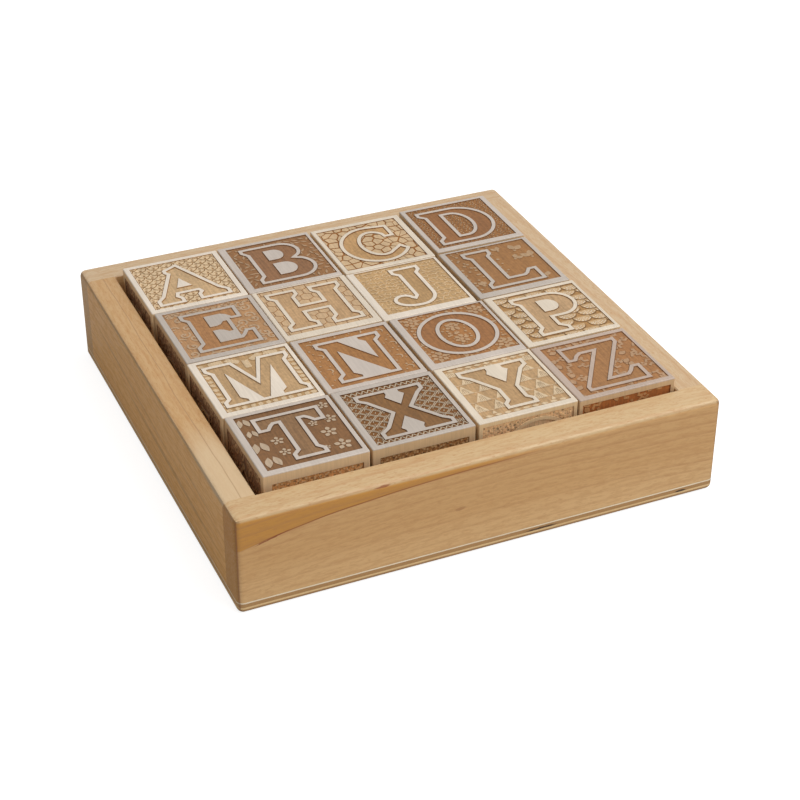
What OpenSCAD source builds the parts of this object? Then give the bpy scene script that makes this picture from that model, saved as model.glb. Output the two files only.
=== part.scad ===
// Square wooden tray holding sixteen engraved alphabet blocks, four rows of four.
// Millimetres. The origin is the middle of the tray's underside, +X right, +Y back, +Z up.
// Each block lies loose in the tray and lifts straight out.

/* [Blocks] */
// Edge length of one cubic block
block_size = 45; // [40:0.5:50]
// Rounding of a block's edges
block_edge_r = 0.5; // [0.3:0.05:0.8]
// Mean width of the plain border round the letter panel on top
frame_w = 2.5; // [1.8:0.1:3]
// Mean width of the plain border round the panel on each other face
side_frame_w = 3.1; // [1.8:0.1:4]
// Depth that the panels are engraved to
engrave_d = 0.4; // [0.2:0.05:0.7]
// Width of the raised ribbon that follows a letter
halo_w = 1.7; // [1:0.1:1.9]

/* [Tray] */
// Thickness of the wall boards
wall_t = 13.5; // [11:0.1:16]
// Height of the wall boards above the base
wall_h = 40; // [34:0.5:46]
// Room left over along a row of four blocks
row_slack = 7.5; // [6:0.1:12]
// Rounding of the tray's outer edges and corners
tray_edge_r = 2.8; // [1.5:0.1:3.5]
// Easing of the rim's inner edge
rim_ease = 0.5; // [0.3:0.1:1]

/* [Plywood base] */
// Thickness of each face veneer
veneer_t = 0.6; // [0.4:0.05:0.9]
// Thickness of each cross ply
cross_ply_t = 1.75; // [1.2:0.05:2.2]
// Thickness of the centre ply
centre_ply_t = 0.9; // [0.6:0.05:1.4]

/* [Corner dowels] */
// Diameter of a corner dowel
dowel_d = 6; // [4:0.5:7]
// Length of a corner dowel
dowel_len = 24; // [20:1:30]
// Depth of a dowel in the full-width wall
dowel_depth = 9; // [6:0.5:9.5]
// Glue room between a dowel and its hole, each side
dowel_gap = 0.1; // [0.05:0.05:0.2]
// Room left at each end of a dowel
dowel_end_gap = 0.5; // [0.3:0.1:0.8]

/* [Base brads] */
// Diameter of a brad's shank
brad_d = 1.4; // [1:0.1:2]
// Length of a brad with its head
brad_len = 16; // [13:0.5:22]
// Diameter of a brad's head
brad_head_d = 2.8; // [2.2:0.1:4]
// Thickness of a brad's head
brad_head_t = 0.6; // [0.4:0.1:1]
// Depth of the head below the underside
brad_sink = 0.3; // [0.1:0.1:0.6]
// Room between a brad and its hole
brad_gap = 0.05; // [0.03:0.01:0.1]

/* [Hidden] */
$fn = 48;

// Blocks along one side of the tray
row_count = 4;
base_t = 2 * veneer_t + 2 * cross_ply_t + centre_ply_t;
inner_w = row_count * block_size + row_slack;
outer_w = inner_w + 2 * wall_t;
tray_h = base_t + wall_h;
// How far every cut runs past the surface that it opens
overrun = block_edge_r;
// Side of the letter panel, and one share: a hundredth of half that side
panel_w = block_size - 2 * frame_w;
panel_share = panel_w / 200;
side_panel_w = block_size - 2 * side_frame_w;

// Dowel heights as shares of the wall's height
dowel_height_shares = [0.27, 0.73];
// Brad places along each wall as shares of half the inner width
brad_place_shares = [-0.7, 0, 0.7];

// One row for each block: its letter, its column and row from the front left, its place in the
// slack of that row and column, and how far its panel lies off centre as shares of the border.
block_shares = [
    ["a", 0, 3, [0.398, 0.602], [-0.03, -0.03]],
    ["b", 1, 3, [0.485, 0.622], [0.46, 0.08]],
    ["c", 2, 3, [0.666, 0.544], [-0.25, -0.15]],
    ["d", 3, 3, [0.934, 0.815], [-0.11, 0.2]],
    ["e", 0, 2, [0.506, 0.531], [0.11, 0.06]],
    ["h", 1, 2, [0.539, 0.567], [-0.18, 0.64]],
    ["j", 2, 2, [0.59, 0.452], [0.49, 0.73]],
    ["l", 3, 2, [0.862, 0.575], [0.09, 0.54]],
    ["m", 0, 1, [0.481, 0.438], [0.33, 0.1]],
    ["n", 1, 1, [0.643, 0.431], [0.16, -0.08]],
    ["o", 2, 1, [0.85, 0.411], [0.47, 0.59]],
    ["p", 3, 1, [0.967, 0.455], [0.45, -0.02]],
    ["t", 0, 0, [0.586, 0.405], [0.26, 0.16]],
    ["x", 1, 0, [0.731, 0.397], [0.26, -0.18]],
    ["y", 2, 0, [0.913, 0.367], [0.35, 0.13]],
    ["z", 3, 0, [0.967, 0.265], [0.38, -0.05]]
];

// Points along part of an ellipse, from one angle to another
function arc_shares(centre, radii, from, to, steps = 12) = [
    for (k = [0 : steps])
        let (turn = from + (to - from) * k / steps)
        [centre[0] + radii[0] * cos(turn), centre[1] + radii[1] * sin(turn)]
];

// Letter outlines, anticlockwise, in shares of half the panel's side from its centre
function a_shares() = [
    [76, -82.5], [76, -70.5], [61, -55], [0.5, 73.5], [-25, 60.5], [-25, 53.5], [-18.5, 45],
    [-62.5, -54], [-77, -69], [-77, -82.5], [-32, -82.5], [-32, -72], [-40.5, -61],
    [-34.5, -42], [20.5, -42], [27.5, -57], [18.5, -69], [18.5, -82.5]
];
function b_shares() = concat(
    [[-66.5, -78]],
    arc_shares([22.5, -36.5], [42, 41.5], -90, 50),
    [[27, 7]],
    arc_shares([15, 42], [38, 35], -35, 90),
    [[-66.5, 77], [-66.5, 69], [-55.5, 54], [-55.5, -55], [-66.5, -68]]
);
function c_shares() = concat(
    arc_shares([7.5, -3.5], [74, 79], 85, 325, 30),
    [[59, -36.5]],
    arc_shares([13.5, -2], [43.5, 61.5], 308, 42, 24),
    [[48, 28.5], [59.5, 28.5], [59.5, 68.5]]
);
function d_shares() = concat(
    [[-75.5, -80]],
    arc_shares([2, -2.75], [72, 77.25], -90, 90, 24),
    [[-75.5, 74.5], [-75.5, 66.5], [-62, 54], [-62, -56], [-75.5, -69]]
);
function e_shares() = [
    [-64.5, -77], [62, -77], [62, -35.5], [52.5, -35.5], [44, -48.5], [34, -59.5],
    [-18.5, -59.5], [-18.5, -7.5], [-3, -7.5], [6, -12.5], [14, -22], [24, -22], [24, 24],
    [15, 24], [7, 14], [-3, 9.5], [-18.5, 9.5], [-18.5, 57], [19, 57], [29.5, 50.5],
    [40, 37], [52, 37], [52, 73], [-61.5, 73], [-61.5, 63], [-51, 51.5], [-51, -54.5],
    [-64.5, -67.5]
];
function h_shares() = [
    [-79, -79], [-22.5, -79], [-22.5, -68.5], [-34, -57], [-34, -11], [34.5, -11],
    [34.5, -57], [23.5, -68.5], [23.5, -79], [79.5, -79], [79.5, -68.5], [67, -57],
    [67, 55], [79.5, 67.5], [79.5, 78], [23.5, 78], [23.5, 67.5], [34.5, 55], [34.5, 8],
    [-34, 8], [-34, 55], [-22.5, 67.5], [-22.5, 78], [-79, 78], [-79, 67.5], [-66.5, 55],
    [-66.5, -57], [-79, -68.5]
];
function j_shares() = concat(
    [[-13, 77], [-13, 67.5], [-0.5, 56], [-0.5, -45], [-12, -60]],
    arc_shares([-38.5, -53.5], [17, 15], 10, 180, 10),
    arc_shares([-10, -53.5], [45.5, 27], 190, 270, 8),
    arc_shares([-6.5, -40.5], [38.5, 40], 275, 360, 10),
    [[32, 56], [42, 67.5], [42, 77]]
);
function l_shares() = [
    [-61, -81.5], [61, -81.5], [61, -40], [51, -40], [41, -54], [31, -61.5], [-16, -61.5],
    [-16, 56], [-6, 67.5], [-6, 77.5], [-60, 77.5], [-60, 67.5], [-48.5, 56],
    [-48.5, -59.5], [-61, -72.5]
];
function m_shares() = [
    [-85.5, -75], [-42, -75], [-42, -66.5], [-55, -55], [-55, 45.5], [-11, -75], [4, -75],
    [46.5, 42.5], [46.5, -55], [34.5, -66], [34.5, -75], [87, -75], [87, -65], [76, -53],
    [76, 53.5], [86, 65.5], [86, 74.5], [34.5, 74.5], [0.5, -21.5], [-34.5, 74.5],
    [-86, 74.5], [-86, 65.5], [-74.5, 52], [-74.5, -55], [-85.5, -66]
];
function n_shares() = [
    [-65, -78.5], [-21, -78.5], [-21, -70.5], [-34.5, -57.5], [-34.5, 36], [42, -78.5],
    [55, -78.5], [55, 51.5], [67.5, 64], [67.5, 73.5], [26, 73.5], [26, 65], [38, 52.5],
    [38, -19], [-19.5, 73.5], [-65.5, 73.5], [-65.5, 65], [-53, 52.5], [-53, -57.5],
    [-65, -69.5]
];
function o_shares() = arc_shares([-0.5, -1.5], [81, 80], 0, 354, 59);
function p_shares() = concat(
    [[-60, -76], [1, -76], [1, -67], [-14.5, -54], [-14.5, -10.75]],
    arc_shares([19.5, 32.75], [43.5, 43.5], -90, 90, 20),
    [[-61, 76.25], [-61, 68], [-48.5, 55], [-48.5, -54], [-60, -67]]
);
function t_shares() = [
    [-26, -77], [29, -77], [29, -68], [18, -56], [18, 58], [36.5, 58], [45.5, 50],
    [53.5, 38.5], [65.5, 38.5], [65.5, 74], [-62, 74], [-62, 38.5], [-50.5, 38.5],
    [-42.5, 50], [-33.5, 58], [-13.5, 58], [-13.5, -56], [-26, -68]
];
function x_shares() = [
    [-69.5, -78.5], [-25.5, -78.5], [-25.5, -70.5], [-31.5, -61.5], [-7.5, -22],
    [19.5, -60.5], [14, -70], [14, -78.5], [73, -78.5], [73, -69], [59, -57.5], [14, 6.5],
    [49.5, 52.5], [62.5, 64], [62.5, 74], [17.5, 74], [17.5, 66], [25.5, 56.5],
    [3.5, 21.5], [-18, 55], [-12, 65], [-12, 74], [-70.5, 74], [-70.5, 65], [-57, 54],
    [-19.5, -3.5], [-51, -52.5], [-69.5, -66.5]
];
function y_shares() = [
    [-28, -77], [27, -77], [27, -68], [16, -57], [16, -10], [54, 50], [68.5, 61],
    [68.5, 73], [22.5, 73], [22.5, 64], [31, 55], [5.5, 10], [-20, 52], [-14, 63],
    [-14, 73], [-70.5, 73], [-70.5, 64], [-55.5, 50], [-17.5, -10], [-17.5, -57], [-28, -68]
];
function z_shares() = [
    [-70, -80], [60, -80], [60, -38], [51, -38], [42, -51], [30, -62], [-25.5, -63],
    [61, 70], [61, 77.5], [-60.5, 77.5], [-60.5, 37.5], [-52, 37.5], [-43, 50], [-30, 59],
    [15, 59], [-70, -73.5]
];

// Each letter's outline, then the closed counters that stay raised, the open counters that are
// engraved inside their own ribbon, and the gaps between strokes that stay raised
function letter_shares(letter) =
    letter == "a" ? [a_shares(), [[[-8.5, 19], [-25, -22.5], [10, -22.5]]], [], []]
    : letter == "b" ? [b_shares(), [
        concat([[-23, 13]], arc_shares([-2, 36.5], [20.5, 23.5], -90, 90), [[-23, 60]]),
        concat([[-21, -59]], arc_shares([1, -31.5], [27, 27.5], -90, 90), [[-21, -4]])
    ], [], []]
    : letter == "c" ? [c_shares(), [], [], []]
    : letter == "d" ? [d_shares(), [], [
        concat([[-31, -64]], arc_shares([-6, -2.75], [41, 61.25], -90, 90, 20), [[-31, 58.5]])
    ], []]
    : letter == "e" ? [e_shares(), [], [], [[[-19, -59], [24, -59], [24, 57], [-19, 57]]]]
    : letter == "h" ? [h_shares(), [], [], []]
    : letter == "j" ? [j_shares(), [], [], []]
    : letter == "l" ? [l_shares(), [], [], []]
    : letter == "m" ? [m_shares(), [], [], [
        [[-56, -75], [-10, -75], [-56, 46]],
        [[3, -75], [48, -75], [48, 43]]
    ]]
    : letter == "n" ? [n_shares(), [], [], [
        [[-36, -78.5], [43, -78.5], [-36, 37]],
        [[-20, 73.5], [39, -20], [39, 73.5]]
    ]]
    : letter == "o" ? [o_shares(), [], [arc_shares([-1.5, -2], [45, 62], 0, 351, 39)], []]
    : letter == "p" ? [p_shares(), [
        concat([[-15, 8]], arc_shares([4.5, 32.75], [23.5, 24.75], -90, 90), [[-15, 57.5]])
    ], [], []]
    : letter == "t" ? [t_shares(), [], [], []]
    : letter == "x" ? [x_shares(), [], [], [
        [[-12, 74], [-18, 55], [3.5, 21.5], [25.5, 56.5], [17.5, 66], [17.5, 74]],
        [[-25.5, -78.5], [14, -78.5], [14, -70], [19.5, -60.5], [-7.5, -22], [-31.5, -61.5]]
    ]]
    : letter == "y" ? [y_shares(), [], [], [
        [[-14, 73], [-20, 52], [5.5, 10], [31, 55], [22.5, 64], [22.5, 73]]
    ]]
    : [z_shares(), [], [], []];

function sized(shares) = [for (point = shares) point * panel_share];
function right_of(step) = [step[1], -step[0]] / norm(step);
// The same outline moved outwards by a margin, with mitred corners
function grown(points, margin) = [
    for (k = [0 : len(points) - 1])
        let (
            count = len(points),
            before = right_of(points[k] - points[(k + count - 1) % count]),
            after = right_of(points[(k + 1) % count] - points[k])
        )
        points[k] + (before + after) * margin / (1 + before * after)
];

// A strip standing on the X axis against the Y axis, with its two outer corners rounded
module rounded_side(height, radius) {
    translate([0, radius]) square([radius, height - 2 * radius]);
    intersection() {
        square([radius, height]);
        for (up = [radius, height - radius]) translate([0, up]) circle(r = radius);
    }
}

// A box standing on the origin, rounded alike at every edge: a core, four sides and four corners
module rounded_box(width, height, radius) {
    flat = width - 2 * radius;
    translate([-flat / 2, -flat / 2, 0]) cube([flat, flat, height]);
    for (turn = [0 : 90 : 270]) rotate([0, 0, turn]) {
        translate([flat / 2, flat / 2, 0]) rotate([90, 0, 0])
            linear_extrude(flat) rounded_side(height, radius);
        translate([flat / 2, flat / 2, 0])
            rotate_extrude(angle = 90) rounded_side(height, radius);
    }
}

module tray_envelope() {
    rounded_box(outer_w, tray_h, tray_edge_r);
}

// A long wedge that widens upwards past the rim's inner edges
module rim_wedge() {
    low = tray_h - rim_ease;
    high = tray_h + overrun;
    wide = inner_w / 2 + rim_ease + overrun;
    rotate([90, 0, 0]) linear_extrude(outer_w, center = true)
        polygon([[-inner_w / 2, low], [inner_w / 2, low], [wide, high], [-wide, high]]);
}

// The mouth of the rim's opening, which eases its four inner edges
module rim_easing() {
    intersection() {
        rim_wedge();
        rotate([0, 0, 90]) rim_wedge();
    }
}

// Two dowels at each corner, across the joint between a full-width wall and a side wall
module dowel_rods(radius, end_room) {
    for (side = [-1, 1], back = [0, 1], share = dowel_height_shares)
        mirror([0, back, 0])
            translate([side * (inner_w + wall_t) / 2, -inner_w / 2 - dowel_depth - end_room,
                base_t + share * wall_h])
                rotate([-90, 0, 0]) cylinder(r = radius, h = dowel_len + 2 * end_room);
}

module dowel_holes() {
    dowel_rods(dowel_d / 2 + dowel_gap, dowel_end_gap);
}

// Copies a brad to its places under the four walls
module at_brads() {
    for (turn = [0 : 90 : 270], share = brad_place_shares)
        rotate([0, 0, turn])
            translate([share * inner_w / 2, -(inner_w + wall_t) / 2, 0]) children();
}

module brad(room) {
    translate([0, 0, brad_sink - room]) cylinder(d = brad_head_d + 2 * room, h = brad_head_t + 2 * room);
    translate([0, 0, brad_sink]) cylinder(d = brad_d + 2 * room, h = brad_len + room);
}

module brad_holes() {
    at_brads() {
        brad(brad_gap);
        translate([0, 0, -overrun])
            cylinder(d = brad_head_d + 2 * brad_gap, h = brad_sink + overrun);
    }
}

// One board of the tray's wall, cut from the envelope
module wall_board(corner, size) {
    difference() {
        intersection() {
            tray_envelope();
            translate(corner) cube(size);
        }
        rim_easing();
        dowel_holes();
        brad_holes();
    }
}

module full_width_wall(front_y) {
    wall_board([-outer_w / 2, front_y, base_t], [outer_w, wall_t, wall_h]);
}

module side_wall(left_x) {
    wall_board([left_x, -inner_w / 2, base_t], [wall_t, inner_w, wall_h]);
}

module tray_front_wall() {
    color("burlywood") full_width_wall(-outer_w / 2);
}

module tray_back_wall() {
    color("burlywood") full_width_wall(inner_w / 2);
}

module tray_left_wall() {
    color("tan") side_wall(-outer_w / 2);
}

module tray_right_wall() {
    color("tan") side_wall(inner_w / 2);
}

// One layer of the plywood, cut from the envelope
module ply(low_z, thickness) {
    difference() {
        intersection() {
            tray_envelope();
            translate([-outer_w / 2, -outer_w / 2, low_z]) cube([outer_w, outer_w, thickness]);
        }
        brad_holes();
    }
}

module base_face_veneer_top() {
    color("cornsilk") ply(base_t - veneer_t, veneer_t);
}

module base_cross_ply_upper() {
    color("peru") ply(base_t - veneer_t - cross_ply_t, cross_ply_t);
}

module base_centre_ply() {
    color("wheat") ply(veneer_t + cross_ply_t, centre_ply_t);
}

module base_cross_ply_lower() {
    color("peru") ply(veneer_t, cross_ply_t);
}

module base_face_veneer_bottom() {
    color("cornsilk") ply(0, veneer_t);
}

module corner_dowels() {
    color("wheat") dowel_rods(dowel_d / 2, 0);
}

module base_brads() {
    color("silver") at_brads() brad(0);
}

// What is engraved on the top: the panel outside the ribbon, the letter and its open counters
module letter_recess(shares) {
    difference() {
        square(panel_w, center = true);
        polygon(grown(sized(shares[0]), halo_w));
        for (gap = shares[3]) polygon(grown(sized(gap), halo_w));
    }
    difference() {
        polygon(sized(shares[0]));
        for (counter = concat(shares[1], shares[2])) polygon(sized(counter));
    }
    for (counter = shares[2]) polygon(grown(sized(counter), -halo_w));
}

// The plain sunk panels on the sides and the underside of a block
module side_panels() {
    middle = block_size / 2;
    for (turn = [0 : 90 : 270])
        translate([0, 0, middle]) rotate([0, 0, turn]) translate([middle - engrave_d, 0, 0])
            translate([0, -side_panel_w / 2, -side_panel_w / 2])
                cube([engrave_d + overrun, side_panel_w, side_panel_w]);
    translate([-side_panel_w / 2, -side_panel_w / 2, -overrun])
        cube([side_panel_w, side_panel_w, engrave_d + overrun]);
}

// A block standing on the origin: its letter, and its panel's shift off centre
module plain_block(letter, shift) {
    difference() {
        rounded_box(block_size, block_size, block_edge_r);
        side_panels();
        translate([shift[0], shift[1], block_size - engrave_d])
            linear_extrude(engrave_d + overrun) letter_recess(letter_shares(letter));
    }
}

module letter_block(letter) {
    for (row = block_shares) if (row[0] == letter)
        color(row[2] % 2 == 1 ? "blanchedalmond" : "bisque")
            translate([
                -inner_w / 2 + (row[1] + 1 / 2) * block_size + row[3][0] * row_slack,
                -inner_w / 2 + (row[2] + 1 / 2) * block_size + row[3][1] * row_slack,
                base_t
            ])
            plain_block(letter, row[4] * (frame_w - block_edge_r));
}

tray_front_wall();
tray_back_wall();
tray_left_wall();
tray_right_wall();
base_face_veneer_top();
base_cross_ply_upper();
base_centre_ply();
base_cross_ply_lower();
base_face_veneer_bottom();
corner_dowels();
base_brads();
letter_block("a");  // block_a
letter_block("b");  // block_b
letter_block("c");  // block_c
letter_block("d");  // block_d
letter_block("e");  // block_e
letter_block("h");  // block_h
letter_block("j");  // block_j
letter_block("l");  // block_l
letter_block("m");  // block_m
letter_block("n");  // block_n
letter_block("o");  // block_o
letter_block("p");  // block_p
letter_block("t");  // block_t
letter_block("x");  // block_x
letter_block("y");  // block_y
letter_block("z");  // block_z
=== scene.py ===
# %% [markdown]
# A square maple tray holds sixteen engraved alphabet blocks in four rows of four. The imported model
# already has every board, ply, dowel and brad at its true size, so those solids stay and only get
# their woods here. The blocks are carved again in full, because their engraving is what the eye
# reads first: each face is a sunk panel with a raised ribbon, a letter or shape, and a pattern.
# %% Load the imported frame
import math
import random

import bmesh
import bpy
from mathutils import Matrix, Quaternion, Vector
from mathutils.geometry import delaunay_2d_cdt


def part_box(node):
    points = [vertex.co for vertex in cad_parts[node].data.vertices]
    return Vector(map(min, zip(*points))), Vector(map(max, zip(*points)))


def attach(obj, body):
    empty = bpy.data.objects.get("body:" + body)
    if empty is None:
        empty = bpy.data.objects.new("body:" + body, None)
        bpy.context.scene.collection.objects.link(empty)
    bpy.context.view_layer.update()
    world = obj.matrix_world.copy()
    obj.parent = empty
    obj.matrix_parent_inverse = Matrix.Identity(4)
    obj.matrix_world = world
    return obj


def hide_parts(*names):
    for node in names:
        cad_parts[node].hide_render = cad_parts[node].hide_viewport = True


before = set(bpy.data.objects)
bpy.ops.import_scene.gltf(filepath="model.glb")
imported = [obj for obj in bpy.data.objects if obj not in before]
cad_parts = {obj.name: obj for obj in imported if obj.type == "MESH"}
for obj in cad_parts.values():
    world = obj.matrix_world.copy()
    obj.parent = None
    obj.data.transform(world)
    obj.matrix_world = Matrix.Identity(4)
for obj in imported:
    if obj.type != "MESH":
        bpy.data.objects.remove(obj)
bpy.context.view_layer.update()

MM = 0.001
print("nodes in the frame:", len(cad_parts))


# %% [markdown]
# The photograph looks down on the tray's front left corner through a long lens from about 86 cm.
# The camera's place was worked out from the tray's corners, so it is set by numbers and looks at
# one point near the middle of the tray, without shift and rolled by a fifth of a degree.
# %% Camera
EYE = (-284.62, -663.65, 474.32)
TARGET = (5.073, -7.544, 12.493)
LENS = 86.01
ROLL = 0.19


def in_scene(name, data):
    """Makes an object from its data and puts it in the scene."""
    made = bpy.data.objects.new(name, data)
    bpy.context.scene.collection.objects.link(made)
    return made


def long_lens():
    data = bpy.data.cameras.new("camera")
    data.sensor_width = 36
    data.lens = LENS
    data.clip_start = 0.05
    data.clip_end = 20
    camera = in_scene("camera", data)
    camera.location = Vector(EYE) * MM
    sight = (Vector(TARGET) - Vector(EYE)) * MM
    level = sight.to_track_quat("-Z", "Y")
    camera.rotation_euler = (level @ Quaternion((0, 0, 1), math.radians(ROLL))).to_euler()
    return camera


bpy.context.scene.camera = long_lens()
print("camera at", [round(v, 3) for v in bpy.context.scene.camera.location])


# %% [markdown]
# Materials are written as small node trees. One helper adds a node and fills its sockets, either
# with a plain value or with another node's output, so each finish below reads from top to bottom.
# %% Node helpers
def srgb(red, green, blue):
    """A colour as it is seen on a screen, from 0 to 255, as the linear colour that a shader wants."""
    def linear(value):
        value = value / 255
        return value / 12.92 if value <= 0.04045 else ((value + 0.055) / 1.055) ** 2.4
    return (linear(red), linear(green), linear(blue), 1.0)


def add(tree, kind, values=None, **settings):
    made = tree.nodes.new("ShaderNode" + kind)
    for name, value in settings.items():
        setattr(made, name, value)
    for socket, value in (values or {}).items():
        if isinstance(value, bpy.types.NodeSocket):
            tree.links.new(value, made.inputs[socket])
        else:
            made.inputs[socket].default_value = value
    return made


def maths(tree, operation, first, second=0.0):
    return add(tree, "Math", {0: first, 1: second}, operation=operation).outputs[0]


def times(tree, first, second):
    return maths(tree, "MULTIPLY", first, second)


def plus(tree, first, second):
    return maths(tree, "ADD", first, second)


def size_of(tree, value):
    return maths(tree, "ABSOLUTE", value)


def vectors(tree, operation, first, second=(0, 0, 0), output=0):
    return add(tree, "VectorMath", {0: first, 1: second}, operation=operation).outputs[output]


def scaled(tree, vector, factor):
    return add(tree, "VectorMath", {0: vector, "Scale": factor}, operation="SCALE").outputs[0]


def parts_of(tree, vector):
    return add(tree, "SeparateXYZ", {0: vector}).outputs


def ramp(tree, value, low, high, to_low=0.0, to_high=1.0):
    """Moves a value from one range into another, smoothly and without leaving it."""
    values = {"Value": value, "From Min": low, "From Max": high, "To Min": to_low, "To Max": to_high}
    return add(tree, "MapRange", values, interpolation_type="SMOOTHSTEP").outputs[0]


def blend(tree, factor, first, second):
    return add(tree, "Mix", {0: factor, 6: first, 7: second}, data_type="RGBA").outputs[2]


def noise(tree, place, scale, detail=2.0, roughness=0.5, output=0):
    """Noise whose grain differs along each axis, so that it can run along the wood."""
    stretched = vectors(tree, "MULTIPLY", place, scale)
    values = {"Vector": stretched, "Scale": 1.0, "Detail": detail, "Roughness": roughness}
    return add(tree, "TexNoise", values).outputs[output]


def drift(tree, place, scale):
    """A vector that wanders round zero from place to place."""
    return vectors(tree, "SUBTRACT", noise(tree, place, scale, output=1), (0.5, 0.5, 0.5))


def own_place(tree):
    return add(tree, "TexCoord").outputs["Object"]


def new_group(name, inputs, outputs):
    """A node group with named inputs, each with its kind and value, and outputs that are masks."""
    group = bpy.data.node_groups.new(name, "ShaderNodeTree")
    for label, kind, value in inputs:
        socket = group.interface.new_socket(label, in_out="INPUT", socket_type="NodeSocket" + kind)
        socket.default_value = value
    for label in outputs:
        group.interface.new_socket(label, in_out="OUTPUT", socket_type="NodeSocketFloat")
    return group, group.nodes.new("NodeGroupInput").outputs, group.nodes.new("NodeGroupOutput").inputs


def new_finish(name, roughness):
    material = bpy.data.materials.new(name)
    material.use_nodes = True
    tree = material.node_tree
    shader = tree.nodes["Principled BSDF"]
    shader.inputs["Roughness"].default_value = roughness
    return material, tree, shader


print("node helpers ready")


# %% [markdown]
# Solid wood has the same figure all through: growth rings round a heart that lies outside the
# board, fine fibres along it, and slow clouds of lighter and darker wood. A solid texture gives
# the face, the rim and the end of a board figure that meets at the edges, which a flat picture
# wouldn't. The group takes a place with X along the board and gives out four masks.
# %% Group: board figure
def make_board_figure():
    group, given, out = new_group(
        "board_figure",
        [("Place", "Vector", (0, 0, 0)), ("Ring spacing", "Float", 4.0), ("Wander", "Float", 3.0)],
        ["Rings", "Fibre", "Flecks", "Cloud"],
    )
    place = given["Place"]
    shift = scaled(group, drift(group, place, (7, 22, 22)), times(group, given["Wander"], MM * 2))
    moved = vectors(group, "ADD", place, shift)
    across = vectors(group, "MULTIPLY", moved, (0, 1, 1))
    radius = vectors(group, "LENGTH", across, output="Value")
    turns = maths(group, "DIVIDE", radius, times(group, given["Ring spacing"], MM))
    part = maths(group, "FRACT", turns)
    ring = times(group, ramp(group, part, 0.55, 0.93), ramp(group, part, 0.93, 1.0, 1.0, 0.0))
    uneven = ramp(group, noise(group, moved, (5, 160, 160), 1.0), 0.3, 0.7, 0.35, 1.0)
    masks = {
        "Rings": times(group, ring, uneven),
        "Fibre": ramp(group, noise(group, moved, (150, 950, 950), 3.0, 0.65), 0.25, 0.75),
        "Flecks": ramp(group, noise(group, place, (420, 1900, 1900)), 0.56, 0.72),
        "Cloud": ramp(group, noise(group, place, (9, 42, 42)), 0.3, 0.7),
    }
    for label, mask in masks.items():
        group.links.new(mask, out[label])
    return group


board_figure = make_board_figure()
print("group made:", board_figure.name)


# %% [markdown]
# A knot, a mineral streak and the painted shade of a gap between plies are small lens-shaped marks
# at one place in the wood. One group makes them all: it turns and scales space round the mark's
# centre and keeps what is nearer than one unit, with a soft border.
# %% Group: lens mark
def make_lens_mark():
    group, given, out = new_group(
        "lens_mark",
        [("Place", "Vector", (0, 0, 0)), ("Centre", "Vector", (0, 0, 0)), ("Turn", "Vector", (0, 0, 0)),
         ("Size", "Vector", (1, 1, 1)), ("Softness", "Float", 0.5)],
        ["Mask"],
    )
    jitter = vectors(group, "MULTIPLY", drift(group, given["Place"], (300, 300, 900)), (MM, MM, MM))
    place = vectors(group, "ADD", given["Place"], jitter)
    local = add(group, "Mapping", {"Vector": place, "Location": given["Centre"],
                                   "Rotation": given["Turn"], "Scale": given["Size"]},
                vector_type="TEXTURE").outputs[0]
    reach = vectors(group, "LENGTH", local, output="Value")
    inner = maths(group, "SUBTRACT", 1.0, given["Softness"])
    group.links.new(ramp(group, reach, inner, 1.0, 1.0, 0.0), out["Mask"])
    return group


lens_mark = make_lens_mark()
print("group made:", lens_mark.name)


# %% [markdown]
# The four walls are honey-coloured maple with an oiled, satin surface. Each board gets its own
# heart, so the lines differ from wall to wall, and the ends of the front and back boards are
# darker because end grain drinks more oil. The rounded edges are sanded after the faces, which
# leaves a clear border where two faces meet: the shading normal is pulled towards the nearer face,
# most of all at the uprights, so the border reads crisp while the outline stays round.
# %% Wall boards
RING_SPACING = 4.0
WANDER = 4.0
EDGE_SHADE = srgb(140, 84, 48)
WARM_UPPER = srgb(214, 167, 109)
HEARTWOOD = srgb(204, 144, 63)
HEART_LINE = srgb(158, 94, 42)
RIM_LINE = srgb(146, 98, 56)


def add_marks(tree, place, colour, marks):
    """Lays lens marks over a colour: each is a centre and a size in mm, a turn, a tone, a strength."""
    for centre, size, turn, tone, strength in marks:
        values = {"Place": place, "Centre": Vector(centre) * MM, "Turn": turn, "Size": Vector(size) * MM}
        mask = add(tree, "Group", values, node_tree=lens_mark).outputs["Mask"]
        colour = blend(tree, times(tree, mask, strength), colour, srgb(*tone))
    return colour


def pulled(tree, normal):
    """A normal turned towards the axis that it is nearest to, by cubing its three parts."""
    cube = vectors(tree, "MULTIPLY", vectors(tree, "MULTIPLY", normal, normal), normal)
    return vectors(tree, "NORMALIZE", cube)


def bowed(tree, place, bow):
    """The same place with its height raised by the square of X, so that lines arch over the board."""
    part = parts_of(tree, place)
    rise = times(tree, times(tree, part["X"], part["X"]), bow)
    values = {"X": part["X"], "Y": part["Y"], "Z": plus(tree, part["Z"], rise)}
    return add(tree, "CombineXYZ", values).outputs[0]


def upright_shade_line(tree, facing):
    """A mask for the thin dark line of painted shade down a rounded upright edge, where two walls meet."""
    sides = [size_of(tree, facing[axis]) for axis in "XY"]
    apart = size_of(tree, maths(tree, "SUBTRACT", *sides))
    both = ramp(tree, times(tree, *sides), 0.3, 0.42)
    return times(tree, ramp(tree, apart, 0.05, 0.3, 1.0, 0.0), both)


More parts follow.
